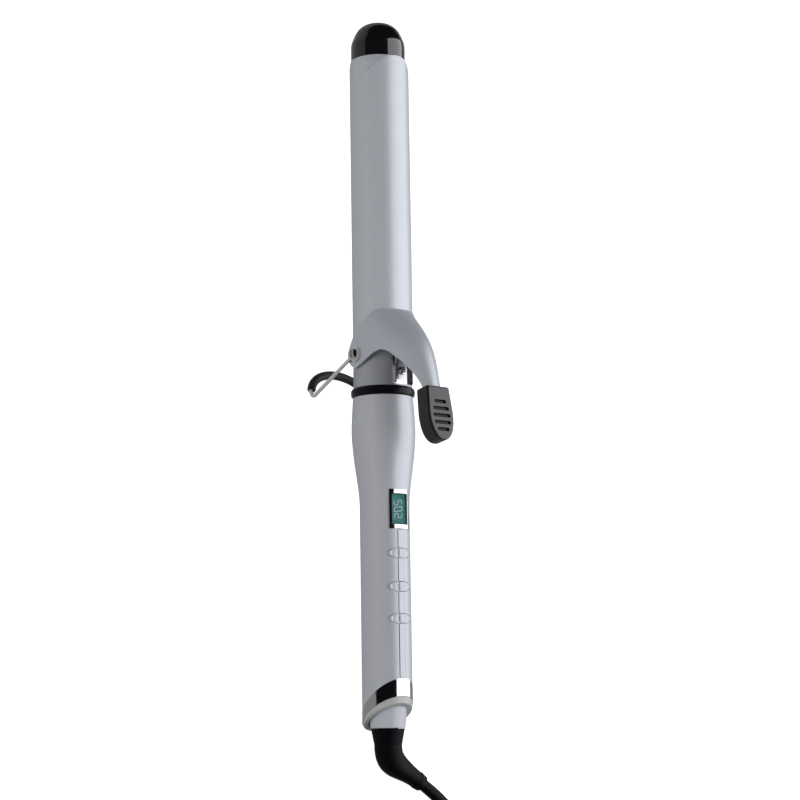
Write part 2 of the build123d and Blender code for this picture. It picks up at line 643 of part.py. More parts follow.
with BuildPart() as suppression_capacitor:
    with Locations((-128.0, 0, BOARD_LOW)):
        Box(17.0, 8.0, 11.0, align=(Align.CENTER, Align.CENTER, Align.MAX))
    fillet(suppression_capacitor.edges().filter_by(Axis.Z), 1.0)
hand_over(suppression_capacitor.part, "suppression_capacitor")

with BuildPart() as board_fuse:
    with Locations((-146.0, 4.4, BOARD_LOW - 2.4)):
        Cylinder(2.2, 11.0, rotation=(0, 90, 0))
hand_over(board_fuse.part, "board_fuse")

with BuildPart() as mains_terminal:
    with Locations((-172.5, 0, BOARD_LOW - 0.2)):
        Box(8.0, 12.0, 7.0, align=(Align.CENTER, Align.CENTER, Align.MAX))
hand_over(mains_terminal.part, "mains_terminal")

HEATER_LEAD_R = 0.9
with BuildPart() as heater_leads:
    for lead_y in (-5.4, 5.4):
        with Locations((-24.0, lead_y, 0.4)):
            Cylinder(HEATER_LEAD_R, 2 * 49.0, rotation=(0, 90, 0))
hand_over(heater_leads.part, "heater_leads")

with BuildPart() as sensor_leads:
    for lead_y in (-1.0, 1.0):
        with Locations((-2.5, lead_y, PLATE_T / 2 + PAD_T + 2.6)):
            Cylinder(0.45, 140.0, rotation=(0, 90, 0))
hand_over(sensor_leads.part, "sensor_leads")

# ---------------------------------------------------------------- chrome band, end cap, swivel
NUB_R = 10.4
trim_plane = oblique(TRIM_TOP, TRIM_DROP)
joint_plane = oblique(CAP_JOINT, CAP_JOINT_DROP)
end_plane = oblique(END_FACE, END_FACE_DROP)
with BuildPart() as chrome_band:
    with Locations((-190, 0, 0)):
        Cylinder(TRIM_R, 60, rotation=(0, 90, 0))
        Cylinder(HANDLE_R - SHELL_WALL, 60, rotation=(0, 90, 0), mode=Mode.SUBTRACT)
    split(bisect_by=trim_plane, keep=Keep.BOTTOM)
    split(bisect_by=joint_plane, keep=Keep.TOP)
hand_over(chrome_band.part, "chrome_band")

with BuildPart() as end_cap:
    with Locations((-190, 0, 0)):
        Cylinder(END_CAP_R, 60, rotation=(0, 90, 0))
    split(bisect_by=joint_plane, keep=Keep.BOTTOM)
    split(bisect_by=end_plane, keep=Keep.TOP)
    rim = end_cap.faces().sort_by(Axis.X)[0].edges()
    fillet(rim, 1.1)
    with BuildSketch(Plane.YZ.offset(-199)):
        Circle(HANDLE_R - SHELL_WALL - 0.05)
    extrude(amount=19)
    split(bisect_by=end_plane, keep=Keep.TOP)
    with Locations((-190, 0, 0)):
        Cylinder(NUB_R, 60, rotation=(0, 90, 0), mode=Mode.SUBTRACT)
hand_over(end_cap.part, "end_cap")

LAND_R = 5.6            # bearing land of the swivel
with BuildPart() as swivel_housing:
    with BuildSketch(Plane.XZ):
        with BuildLine():
            Polyline((SWIVEL_FACE, LAND_R), (SWIVEL_FACE, 9.0), (SWIVEL_FACE + 0.3, 9.3), (-191.0, NUB_R),
                     (-180.0, NUB_R), (-180.0, 11.3), (-178.0, 11.3), (-178.0, 8.6), (-195.5, 8.6),
                     (-195.5, LAND_R), close=True)
        make_face()
    revolve(axis=Axis.X)
hand_over(swivel_housing.part, "swivel_housing")

with BuildPart() as swivel_rotor:
    with BuildSketch(Plane.XZ):
        with BuildLine():
            Polyline((CONE_END, 0), (CONE_END, CONE_R2), (SWIVEL_FACE - SWIVEL_GAP, CONE_R1),
                     (SWIVEL_FACE - SWIVEL_GAP, LAND_R - 0.06), (-194.8, LAND_R - 0.06), (-194.8, 4.4),
                     (-179.0, 4.4), (-179.0, 0), close=True)
        make_face()
    revolve(axis=Axis.X)
hand_over(swivel_rotor.part, "swivel_rotor")

with BuildPart() as contact_rings:
    for ring_x in (-191.0, -185.5):
        with Locations((ring_x, 0, 0)):
            Cylinder(6.2, 3.4, rotation=(0, 90, 0))
    Cylinder(4.4, 500, rotation=(0, 90, 0), mode=Mode.SUBTRACT)
hand_over(contact_rings.part, "contact_rings")

with BuildPart() as rotor_clip:
    with BuildSketch(Plane.YZ.offset(-194.6)):
        Circle(7.2)
        Circle(4.4, mode=Mode.SUBTRACT)
    extrude(amount=0.8)
hand_over(rotor_clip.part, "rotor_clip")

with BuildPart() as contact_brushes:
    for ring_x, side in ((-191.0, 1), (-185.5, -1)):
        with Locations((ring_x, side * 7.38, 0)):
            Box(2.2, 2.1, 3.0)
hand_over(contact_brushes.part, "contact_brushes")

# ---------------------------------------------------------------- elbow boot, cord, coil and plug
# from here on points are in the row's own frame: the cord lies on the table behind the handle
IN_PLACE = Location()
BOOT_BEND = 57.0            # the boot turns sideways by this many degrees
BOOT_LEAD = 6.4             # from the rotor's end to the bend's corner
BOOT_REACH = 26.0           # from the corner to the boot's small end
BOOT_BEND_R = 11.0
BOOT_STEPS = 16
BOOT_END_R = 4.5

boot_start = to_row(CONE_END - SWIVEL_GAP, 0, 0)
boot_in = Vector(-cos(radians(tilt)), 0, -sin(radians(tilt)))
boot_out = boot_in * cos(radians(BOOT_BEND)) + Vector(0, -1, 0) * sin(radians(BOOT_BEND))
boot_corner = boot_start + boot_in * BOOT_LEAD
cord_exit = boot_corner + boot_out * BOOT_REACH
with BuildLine() as boot_path:
    FilletPolyline(boot_start, boot_corner, cord_exit, radius=BOOT_BEND_R)
boot_line = boot_path.wires()[0]
boot_sections = []
for step in range(BOOT_STEPS + 1):
    share = step / BOOT_STEPS
    with BuildSketch(Plane(origin=boot_line @ share, x_dir=(0, 0, 1), z_dir=boot_line % share)) as section:
        Circle(CONE_R2 - (CONE_R2 - BOOT_END_R) * share)
    boot_sections.append(section.sketch)
with BuildPart() as strain_relief:
    loft(boot_sections, ruled=True)
hand_over(strain_relief.part, "strain_relief", IN_PLACE)
print("cord exit", [round(v, 2) for v in cord_exit], "way", [round(v, 4) for v in boot_out])


def lay_tube(points, name):
    """A stretch of the lead: straight runs joined by tangent arcs, checked against its length."""
    radii = arc_radii(points)
    print(name, "bend radii", [round(r) for r in radii])
    with BuildLine() as route:
        FilletPolyline(*points, radius=radii)
    line = route.wires()[0]
    with BuildPart() as tube:
        with BuildSketch(Plane(origin=line @ 0, z_dir=line % 0)):
            Circle(CORD_R)
        sweep(path=line)
    expected = pi * CORD_R**2 * line.length
    print(name, f"length {line.length:.1f}, volume {tube.part.volume:.0f} against {expected:.0f}")
    hand_over(tube.part, name, IN_PLACE)
    return line.length


LEAD_ROUTE = (
    tuple(cord_exit),
    (-222.7, -33.6, 7.2),
    (-233.1, -44.4, 5.2),
    (-246.1, -51.9, 3.8),
    (-261.6, -55.8, CORD_R),
)
TAIL_ROUTE = (
    (-301.0, -56.5, 9.75),
    (-318.0, -55.6, 9.4),
    (-334.5, -50.8, 6.6),
    (-349.5, -42.5, 5.6),
    (-363.0, -31.5, 7.8),
)
COIL_CENTRE = (-286.25, -17.5)
COIL_TURNS = 7.11
COIL_W = 2 * CORD_R * COIL_COLUMNS
COIL_H = 2 * CORD_R * COIL_LAYERS
COIL_MEAN_R = COIL_TIGHT_R + COIL_W / 2 - CORD_R
LAP = 2 * pi * COIL_MEAN_R + 2 * COIL_STRAIGHT

# ---- the wound length, as the closed outer shape of its turns, with a tie round one straight side
TIE_W, TIE_T = 9.0, 1.0
tie_plane = Plane(origin=(COIL_CENTRE[0] - TIE_W / 2, COIL_CENTRE[1] - COIL_MEAN_R, COIL_H / 2 + TIE_T),
                  x_dir=(0, 1, 0), z_dir=(1, 0, 0))
with BuildPart() as cord_tie:
    with BuildSketch(tie_plane):
        RectangleRounded(COIL_W + 2.2, COIL_H + 2 * TIE_T, 3.8)
        RectangleRounded(COIL_W + 0.2, COIL_H, 2.8, mode=Mode.SUBTRACT)
    extrude(amount=TIE_W)
hand_over(cord_tie.part, "cord_tie", IN_PLACE)

with BuildPart() as cord_coil:
    with BuildSketch():
        with Locations(COIL_CENTRE):
            SlotCenterToCenter(COIL_STRAIGHT, 2 * COIL_MEAN_R + COIL_W)
            SlotCenterToCenter(COIL_STRAIGHT, 2 * COIL_MEAN_R - COIL_W, mode=Mode.SUBTRACT)
    extrude(amount=COIL_H)
    rims = cord_coil.edges().group_by(Axis.Z)
    fillet(rims[0] + rims[-1], CORD_R - 0.25)
    with BuildSketch(tie_plane):
        Rectangle(COIL_W + 8, 3 * COIL_H)
        RectangleRounded(COIL_W + 0.2, COIL_H, 2.8, mode=Mode.SUBTRACT)
    extrude(amount=TIE_W, mode=Mode.SUBTRACT)
hand_over(cord_coil.part, "cord_coil", IN_PLACE)

lead_length = lay_tube(LEAD_ROUTE, "power_cord")
tail_length = lay_tube(TAIL_ROUTE, "cord_tail")
coil_length = COIL_TURNS * LAP
print(f"whole lead {(lead_length + tail_length + coil_length) / 1000:.3f} m")

# ---- two-blade plug, lying beside the coil
PLUG_AXIS_Z = TAIL_ROUTE[-1][2]
PLUG_TURN = degrees(atan2(TAIL_ROUTE[-1][1] - TAIL_ROUTE[-2][1], TAIL_ROUTE[-1][0] - TAIL_ROUTE[-2][0]))
PLUG_AT = Location(TAIL_ROUTE[-1], (0, 0, PLUG_TURN))
NECK_L, PLUG_L = 15.0, 27.0
BLADE_L, BLADE_PITCH = 17.5, 12.7
with BuildPart() as plug_body:
    with BuildSketch(Plane.YZ.offset(NECK_L)):
        RectangleRounded(25.0, 2 * PLUG_AXIS_Z, 5.5)
    with BuildSketch(Plane.YZ.offset(NECK_L + PLUG_L)):
        RectangleRounded(23.0, 14.4, 5.0)
    loft()
    with BuildSketch(Plane.YZ.offset(NECK_L + 1)):
        RectangleRounded(15.0, 11.0, 4.5)
    with BuildSketch(Plane.YZ):
        RectangleRounded(8.6, 8.6, 4.2)
    loft()
    fillet(plug_body.faces().sort_by(Axis.X)[-1].edges(), 1.6)
    for blade_y in (-BLADE_PITCH / 2, BLADE_PITCH / 2):
        with Locations((NECK_L + PLUG_L, blade_y, 0)):
            Box(16.0, 1.5, 7.0, mode=Mode.SUBTRACT)
hand_over(plug_body.part, "plug_body", PLUG_AT)

with BuildPart() as plug_blades:
    for blade_y, blade_w in ((-BLADE_PITCH / 2, 6.35), (BLADE_PITCH / 2, 7.0)):
        with Locations((NECK_L + PLUG_L - 8, blade_y, 0)):
            Box(BLADE_L + 8, 1.5, blade_w, align=(Align.MIN, Align.CENTER, Align.CENTER))
        with Locations((NECK_L + PLUG_L + BLADE_L - 3.6, blade_y, 0)):
            Cylinder(1.6, 4, rotation=(90, 0, 0), mode=Mode.SUBTRACT)
    tips = plug_blades.edges().filter_by(Axis.Y).group_by(Axis.X)[-1]
    chamfer(tips, 1.2)
hand_over(plug_blades.part, "plug_blades", PLUG_AT)
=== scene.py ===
"""Curling iron lying on its wire stand: camera, lights, lead and the finish of every piece.

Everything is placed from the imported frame. Iron coordinates are millimetres: x along the axis towards
the tip, y across to the near side, z towards the clamp's lever.
"""
import json
from math import cos, hypot, pi, radians, sin

import bmesh
import bpy
from mathutils import Matrix, Vector


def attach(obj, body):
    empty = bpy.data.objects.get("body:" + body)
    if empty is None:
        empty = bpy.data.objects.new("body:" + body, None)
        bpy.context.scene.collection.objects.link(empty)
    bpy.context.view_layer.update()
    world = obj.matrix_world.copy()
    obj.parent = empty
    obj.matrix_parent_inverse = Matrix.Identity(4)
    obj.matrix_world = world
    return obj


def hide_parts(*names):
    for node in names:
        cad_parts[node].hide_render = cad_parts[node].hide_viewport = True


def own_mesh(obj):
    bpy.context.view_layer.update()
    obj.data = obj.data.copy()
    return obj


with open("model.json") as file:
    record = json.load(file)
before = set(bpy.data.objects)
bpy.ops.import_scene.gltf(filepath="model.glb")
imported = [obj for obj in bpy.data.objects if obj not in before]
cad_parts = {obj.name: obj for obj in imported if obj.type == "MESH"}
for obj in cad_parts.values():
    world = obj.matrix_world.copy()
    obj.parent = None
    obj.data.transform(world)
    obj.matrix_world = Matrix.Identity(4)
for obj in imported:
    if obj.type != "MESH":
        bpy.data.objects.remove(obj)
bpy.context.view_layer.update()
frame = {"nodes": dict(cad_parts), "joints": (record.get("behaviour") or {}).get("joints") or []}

nodes = frame["nodes"]
joints = {joint["name"]: joint for joint in frame["joints"]}
MM = 0.001

# ---------------------------------------------------------------- the iron's own axes
PIVOT_X = -2.2              # the clamp's pivot, along the iron
along = -Vector(joints["cord_swivel"]["axis"]).normalized()
across = Vector((0, 1, 0))
upward = along.cross(across)
centre = Vector(joints["clamp_hinge"]["pos_m"]) - along * PIVOT_X * MM
IRON = Matrix.Translation(centre) @ Matrix((along, across, upward)).transposed().to_4x4()
TILT = IRON.to_euler()


def iron(x, y, z):
    """A point of the iron, in the row's frame."""
    return IRON @ (Vector((x, y, z)) * MM)


def way(x, y, z):
    """A direction of the iron, in the row's frame."""
    return (IRON.to_3x3() @ Vector((x, y, z))).normalized()


# ---------------------------------------------------------------- camera
VIEW_TURN = radians(38.3)   # round the iron, from the lever towards the near side
VIEW_LEAN = radians(9.1)    # off square to the iron, from its handle end
VIEW_ROLL = radians(0.93)
VIEW_DISTANCE = 1114.6
VIEW_PLACE = -204.4         # where the camera stands, along the iron
VIEW_SHIFT = 9.2            # and how far to its side
LENS, SENSOR = 93.69, 36
facing = way(0, sin(VIEW_TURN), cos(VIEW_TURN))
sideways = way(0, -cos(VIEW_TURN), sin(VIEW_TURN))
look = -facing * cos(VIEW_LEAN) + along * sin(VIEW_LEAN)
level_up = along * cos(VIEW_LEAN) + facing * sin(VIEW_LEAN)
camera_up = level_up * cos(VIEW_ROLL) + sideways * sin(VIEW_ROLL)
camera_right = sideways * cos(VIEW_ROLL) - level_up * sin(VIEW_ROLL)

camera = bpy.data.objects.new("camera", bpy.data.cameras.new("camera"))
camera.data.lens = LENS
camera.data.sensor_width = SENSOR
camera.data.clip_end = 20
bpy.context.scene.collection.objects.link(camera)
bpy.context.scene.camera = camera
stand_off = iron(VIEW_PLACE, 0, 0) + facing * VIEW_DISTANCE * MM + sideways * VIEW_SHIFT * MM
camera.matrix_world = (Matrix.Translation(stand_off)
                       @ Matrix((camera_right, camera_up, -look)).transposed().to_4x4())

# ---------------------------------------------------------------- the lead, on the table
CORD_R = 3.25
CORD_EXIT = (-215.19, -21.81, 8.51)
LEAD_ROUTE = (
    CORD_EXIT,
    (-222.7, -33.6, 7.2),
    (-233.1, -44.4, 5.2),
    (-246.1, -51.9, 3.8),
    (-261.6, -55.8, CORD_R),
)
TAIL_ROUTE = (
    (-301.0, -56.5, 9.75),
    (-318.0, -55.6, 9.4),
    (-334.5, -50.8, 6.6),
    (-349.5, -42.5, 5.6),
    (-363.0, -31.5, 7.8),
)
COIL_CENTRE = (-286.25, -17.5)
COIL_TIGHT_R = 19.5         # bend of the innermost turns
COIL_STRAIGHT = 26.0        # the straight sides of every turn
COLUMNS = 4
COIL_MEAN_R = COIL_TIGHT_R + CORD_R * (COLUMNS - 1)
LAP = 2 * pi * COIL_MEAN_R + 2 * COIL_STRAIGHT
TURN_POINTS = 24
# places round a lap, in mm along its middle turn, clockwise from the handle's end of the coil
QUARTER = COIL_MEAN_R * pi / 2
MERGE = QUARTER                             # the lead comes in where the near straight begins
LEAVE = 7 * LAP + QUARTER + COIL_STRAIGHT   # and its tail goes on at the end of that straight
STEP_OUT = (LAP / 2 + QUARTER * 0.1, LAP / 2 + QUARTER)         # upper turns step outwards
CLIMB = (STEP_OUT[1] + 2, STEP_OUT[1] + COIL_STRAIGHT + QUARTER * 0.45)      # the inner turn climbs
STEP_IN = (QUARTER * 0.28, QUARTER * 0.9)                       # lower turns step inwards
TIE_W, TIE_T = 9.0, 1.0
TIE_RAMP = 22.0             # the turns start to rise over the tie this far to each side of it
CURVE_DRAW = 0.75 + 0.25 * cos(2 * pi / TURN_POINTS * 1.2)      # how far inside its points the curve runs


def eased(share):
    """A smooth step from 0 to 1."""
    share = min(max(share, 0.0), 1.0)
    return share * share * (3 - 2 * share)


def track(place, radius):
    """A point of an oblong turn of this bend radius, at a place along the middle turn's lap."""
    place %= LAP
    half = COIL_STRAIGHT / 2
    if place > LAP - QUARTER:
        place -= LAP
    if place < QUARTER:
        turn = -place / COIL_MEAN_R
        return half + radius * cos(turn), radius * sin(turn)
    if place < QUARTER + COIL_STRAIGHT:
        return half - (place - QUARTER), -radius
    if place < LAP - QUARTER - COIL_STRAIGHT:
        turn = -pi / 2 - (place - QUARTER - COIL_STRAIGHT) / COIL_MEAN_R
        return -half + radius * cos(turn), radius * sin(turn)
    return -half + (place - (LAP - QUARTER - COIL_STRAIGHT)), radius


def between(start, end, stretch, place):
    """Ease from one value to another over a stretch of the lap."""
    return start + (end - start) * eased((place - stretch[0]) / (stretch[1] - stretch[0]))


def turn_place(turn):
    """Bend radius and height of one turn: inwards along the table, then outwards on top."""
    layer, column = divmod(turn, COLUMNS)
    outward = column if layer else COLUMNS - 1 - column
    return COIL_TIGHT_R + 2 * CORD_R * outward, CORD_R * (2 * layer + 1)


def coil_point(distance):
    """A point of the coil: upper turns step out, then the inner one climbs, then lower turns step in."""
    turn, place = divmod(distance, LAP)
    turn = int(turn)
    if place < STEP_IN[1]:
        turn, place = turn - 1, place + LAP
    radius, height = turn_place(max(turn, 0))
    if 0 <= turn < 2 * COLUMNS - 1:
        next_radius, next_height = turn_place(turn + 1)
        stretch = STEP_OUT if turn >= COLUMNS else [LAP + edge for edge in STEP_IN]
        radius = between(radius, next_radius, stretch, place)
        height = between(height, next_height, CLIMB, place)
    x, y = track(place, radius / CURVE_DRAW)
    under = 1 - abs(x) / TIE_RAMP if y < 0 else 0.0
    return COIL_CENTRE[0] + x, COIL_CENTRE[1] + y, height + TIE_T * eased(under)


coil_steps = round((LEAVE - MERGE) / LAP * TURN_POINTS)
coil_points = [coil_point(MERGE + (LEAVE - MERGE) * step / coil_steps) for step in range(coil_steps)]
lead_curve = bpy.data.curves.new("power_lead", "CURVE")
lead_curve.dimensions = "3D"
lead_curve.bevel_depth = 1.0     # times each point's radius
lead_curve.bevel_resolution = 8
lead_curve.resolution_u = 6
lead_curve.use_fill_caps = True
lead_points = [*LEAD_ROUTE, *coil_points, *TAIL_ROUTE]
spline = lead_curve.splines.new("NURBS")
spline.points.add(len(lead_points) - 1)
for point, place in zip(spline.points, lead_points):
    point.co = (*(value * MM for value in place), 1.0)
    point.radius = CORD_R * MM
spline.order_u = 3
spline.use_endpoint_u = True
spline.use_smooth = True
power_lead = bpy.data.objects.new("power_lead", lead_curve)
bpy.context.scene.collection.objects.link(power_lead)
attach(power_lead, "root")
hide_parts("power_cord", "cord_coil", "cord_tail")


# ---------------------------------------------------------------- materials
class Finish:
    """One procedural material: a Principled shader whose textures lie along the iron."""

    def __init__(self, name, colour, metallic=0.0, roughness=0.5, **sockets):
        self.material = bpy.data.materials.new(name)
        self.material.use_nodes = True
        self.tree = self.material.node_tree
        self.shader = self.tree.nodes["Principled BSDF"]
        self.colour = colour
        self.shader.inputs["Base Color"].default_value = (*colour, 1)
        self.shader.inputs["Metallic"].default_value = metallic
        self.shader.inputs["Roughness"].default_value = roughness
        for socket, value in sockets.items():
            self.shader.inputs[socket.replace("_", " ")].default_value = value
        self.height = None

    def join(self, source, target):
        self.tree.links.new(source, target)

    def along_iron(self, cell):
        """Coordinates in the iron's own axes, counted in cells of this size in mm."""
        coordinates = self.tree.nodes.new("ShaderNodeTexCoord")
        mapping = self.tree.nodes.new("ShaderNodeMapping")
        mapping.vector_type = "TEXTURE"
        mapping.inputs["Location"].default_value = centre
        mapping.inputs["Rotation"].default_value = TILT
        mapping.inputs["Scale"].default_value = [size * MM for size in cell]
        self.join(coordinates.outputs["Object"], mapping.inputs["Vector"])
        return mapping.outputs["Vector"]

    def grain(self, cell, detail=2.0, kind="noise"):
        """A noise or voronoi pattern; cell is its size in mm, one number or along each axis."""
        place = self.along_iron((cell,) * 3 if isinstance(cell, (int, float)) else cell)
        if kind == "voronoi":
            pattern = self.tree.nodes.new("ShaderNodeTexVoronoi")
            pattern.inputs["Scale"].default_value = 1.0
            self.join(place, pattern.inputs["Vector"])
            return pattern.outputs["Distance"]
        pattern = self.tree.nodes.new("ShaderNodeTexNoise")
        pattern.inputs["Scale"].default_value = 1.0
        pattern.inputs["Detail"].default_value = detail
        self.join(place, pattern.inputs["Vector"])
        return pattern.outputs["Fac"]

    def spread(self, factor, low, high, start=0.3, end=0.7):
        """Map a pattern to a value between low and high."""
        node = self.tree.nodes.new("ShaderNodeMapRange")
        node.inputs["From Min"].default_value = start
        node.inputs["From Max"].default_value = end
        node.inputs["To Min"].default_value = low
        node.inputs["To Max"].default_value = high
        self.join(factor, node.inputs["Value"])
        return node.outputs["Result"]

    def mottle(self, factor, amount, tint=(1, 1, 1)):
        """Vary the colour by a share of itself, either side of its own value."""
        ramp = self.tree.nodes.new("ShaderNodeValToRGB")
        ramp.color_ramp.elements[0].position = 0.3
        ramp.color_ramp.elements[1].position = 0.7
        ramp.color_ramp.elements[0].color = (*(c * (1 - amount) for c in self.colour), 1)
        ramp.color_ramp.elements[1].color = (*(min(1, c * (1 + amount) * t)
                                               for c, t in zip(self.colour, tint)), 1)
        self.join(factor, ramp.inputs["Fac"])
        self.join(ramp.outputs["Color"], self.shader.inputs["Base Color"])
        return self

    def rough(self, factor, low, high):
        self.join(self.spread(factor, low, high), self.shader.inputs["Roughness"])
        return self

    def bump(self, factor, height, strength=1.0):
        """Raise the surface by a pattern; height is in mm, and each bump adds to the last one."""
        node = self.tree.nodes.new("ShaderNodeBump")
        node.inputs["Strength"].default_value = strength
        node.inputs["Distance"].default_value = height * MM
        self.join(factor, node.inputs["Height"])
        if self.height is not None:
            self.join(self.height, node.inputs["Normal"])
        self.height = node.outputs["Normal"]
        self.join(self.height, self.shader.inputs["Normal"])
        return self


def pearl_paint(name, colour, metallic, roughness, flake=0.035):
    """Satin pearl paint: fine metal flakes, a faint orange peel and handling marks."""
    paint = Finish(name, colour, metallic, roughness, Coat_Weight=0.08, Coat_Roughness=0.30)
    flakes = paint.grain(0.35, 3)
    paint.mottle(flakes, flake, (1.0, 1.0, 1.01))
    paint.rough(paint.grain(9.0, 4), roughness - 0.025, roughness + 0.025)
    paint.bump(paint.grain(1.6, 2), 0.012).bump(flakes, 0.004)
    return paint


def barrel_material():
    """The barrel's paint, made more metallic by the clamp's hinge so that it renders darker there."""
    paint = pearl_paint("barrel_paint", (0.42, 0.435, 0.465), 0.35, 0.42)
    parts = paint.tree.nodes.new("ShaderNodeSeparateXYZ")
    paint.join(paint.along_iron((1, 1, 1)), parts.inputs["Vector"])
    paint.join(paint.spread(parts.outputs["X"], 0.66, 0.35, -2.0, 14.0), paint.shader.inputs["Metallic"])
    return paint.material


def moulded(name, colour, roughness, cell=0.45, depth=0.02, sheen=0.0, coat=0.0, shine=0.5):
    """Moulded plastic or rubber with a fine spark-eroded grain."""
    plastic = Finish(name, colour, 0.0, roughness, Coat_Weight=coat, Coat_Roughness=0.08,
                     Sheen_Weight=sheen, Specular_IOR_Level=shine)
    plastic.mottle(plastic.grain(14.0, 3), 0.10)
    plastic.rough(plastic.grain(6.0, 4), roughness - 0.04, roughness + 0.04)
    plastic.bump(plastic.grain(cell, 2, "voronoi"), depth)
    return plastic.material


def metal(name, colour, roughness, cell=(12.0, 0.25, 0.25), depth=0.004, mottle=0.05, metallic=1.0):
    """Bare or plated metal, with fine drawn lines along the iron."""
    bare = Finish(name, colour, metallic, roughness)
    lines = bare.grain(cell, 3)
    bare.mottle(lines, mottle)
    bare.rough(bare.grain(5.0, 4), roughness * 0.8, roughness * 1.25)
    bare.bump(lines, depth)
    return bare.material


def lens_material():
    """The clear display window: thin, glossy, and barely there."""
    lens = Finish("lens_clear", (0.10, 0.16, 0.16), 0.0, 0.05, Alpha=0.06, Specular_IOR_Level=0.10)
    lens.rough(lens.grain(4.0, 3), 0.03, 0.09)
    return lens.material


def lcd_material():
    """Teal display glass: lighter at its tip end, with a fine dot grid."""
    lcd = Finish("lcd_green", (0.018, 0.105, 0.098), 0.0, 0.45, Specular_IOR_Level=0.12)
    lcd.mottle(lcd.grain((9.0, 30.0, 30.0), 2), 0.45, (1.15, 1.2, 1.2))
    lcd.bump(lcd.grain(0.5, 1, "voronoi"), 0.01)
    return lcd.material


def sleeve_material():
    """Braided glass-fibre sleeve, dark, its colour lighter on the crests of its threads and darker between
    them.
    """
    sleeve = Finish("sleeve_black", (0.010, 0.010, 0.012), 0.0, 0.55, Specular_IOR_Level=0.30)
    threads = sleeve.grain(0.5, 2, "voronoi")
    sleeve.mottle(threads, 0.5)
    sleeve.bump(threads, 0.08).bump(sleeve.grain(0.25, 3), 0.03)
    return sleeve.material


FINISHES = {
    "barrel_paint": barrel_material(),
    "lever_paint": pearl_paint("lever_paint", (0.38, 0.40, 0.43), 0.35, 0.40).material,
    "handle_pearl": pearl_paint("handle_pearl", (0.39, 0.40, 0.43), 0.30, 0.40).material,
    "end_cap_grey": pearl_paint("end_cap_grey", (0.32, 0.33, 0.32), 0.05, 0.42, 0.02).material,
    "nub_white": pearl_paint("nub_white", (0.35, 0.36, 0.39), 0.05, 0.42, 0.02).material,
    "cap_black": moulded("cap_black", (0.004, 0.004, 0.005), 0.14, 0.6, 0.002, coat=0.5),
    "ring_black": moulded("ring_black", (0.003, 0.003, 0.004), 0.30, 0.5, 0.006, shine=0.16),
    "grip_black": moulded("grip_black", (0.003, 0.003, 0.005), 0.42, 0.4, 0.015, shine=0.75),
    "rotor_black": moulded("rotor_black", (0.002, 0.002, 0.003), 0.48, 0.45, 0.015, shine=0.06),
    "cord_rubber": moulded("cord_rubber", (0.002, 0.002, 0.003), 0.50, 0.5, 0.015, shine=0.08),
    "tie_black": moulded("tie_black", (0.02, 0.02, 0.021), 0.75, 0.35, 0.15, sheen=0.4),
    "sleeve_black": sleeve_material(),
    "chrome": metal("chrome", (0.58, 0.56, 0.58), 0.10, (3.0, 3.0, 3.0), 0.001, 0.03),
    "stand_wire_steel": metal("stand_wire_steel", (0.50, 0.49, 0.48), 0.24, (6.0, 0.3, 0.3), 0.006,
                              metallic=0.35),
    "spring_steel": metal("spring_steel", (0.50, 0.50, 0.51), 0.30, (0.3, 6.0, 0.3), 0.008, 0.12),
    "aluminium": metal("aluminium", (0.74, 0.74, 0.75), 0.34, (20.0, 0.4, 0.4), 0.01),
    "brass": metal("brass", (0.80, 0.60, 0.28), 0.25, (0.3, 4.0, 4.0), 0.006, 0.10),
    "plug_metal": metal("plug_metal", (0.76, 0.72, 0.64), 0.22, (4.0, 0.3, 4.0), 0.006, 0.06),
    "fuse_metal": metal("fuse_metal", (0.62, 0.58, 0.48), 0.28, (2.0, 2.0, 2.0), 0.004, 0.06),
    "ceramic": moulded("ceramic", (0.84, 0.83, 0.78), 0.42, 0.7, 0.01),
    "mica": moulded("mica", (0.55, 0.49, 0.37), 0.6, 1.4, 0.06),
    "carrier_plastic": moulded("carrier_plastic", (0.07, 0.07, 0.072), 0.5, 0.6, 0.03),
    "board_green": moulded("board_green", (0.02, 0.17, 0.07), 0.35, 1.2, 0.01, coat=0.3),
    "component_dark": moulded("component_dark", (0.04, 0.04, 0.045), 0.42, 0.5, 0.02),
    "fuse_glass": moulded("fuse_glass", (0.72, 0.70, 0.60), 0.14, 2.0, 0.004, coat=0.5),
    "lead_insulation": moulded("lead_insulation", (0.70, 0.67, 0.60), 0.7, 0.4, 0.08),
    "lens_clear": lens_material(),
    "lcd_green": lcd_material(),
}


def dress(obj, slot):
    """Give a piece the finish of one of the record's slots."""
    obj.data.materials.clear()
    obj.data.materials.append(FINISHES[slot])


def slot_of(node):
    """The record's slot of a CAD node, which its material is named after."""
    return node.data.materials[0].name.split(".")[0]


# ---------------------------------------------------------------- detailed pieces
def new_piece(name, faces_mesh, body, slot_name, *stands_for, smooth=True):
    """Link a finished bmesh as a piece of one CAD body, in place of its CAD nodes."""
    bmesh.ops.recalc_face_normals(faces_mesh, faces=faces_mesh.faces)
    mesh = bpy.data.meshes.new(name)
    faces_mesh.to_mesh(mesh)
    faces_mesh.free()
    for polygon in mesh.polygons:
        polygon.use_smooth = smooth
    piece = bpy.data.objects.new(name, mesh)
    bpy.context.scene.collection.objects.link(piece)
    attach(piece, body)
    dress(piece, slot_name)
    if stands_for:
        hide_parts(*stands_for)
    return piece


def skin(rings, closed=False, shell=None):
    """A tube through rings of points, capped at both ends or joined last ring to first.

    It is a new bmesh, or goes into the one that is given.
    """
    shell = bmesh.new() if shell is None else shell
    loops = [[shell.verts.new(point) for point in ring] for ring in rings]
    for before, after in zip(loops, loops[1:] + loops[:1] if closed else loops[1:]):
        for side in range(len(before)):
            beyond = (side + 1) % len(before)
            shell.faces.new((before[side], before[beyond], after[beyond], after[side]))
    if not closed:
        shell.faces.new(loops[0])
        shell.faces.new(loops[-1])
    return shell


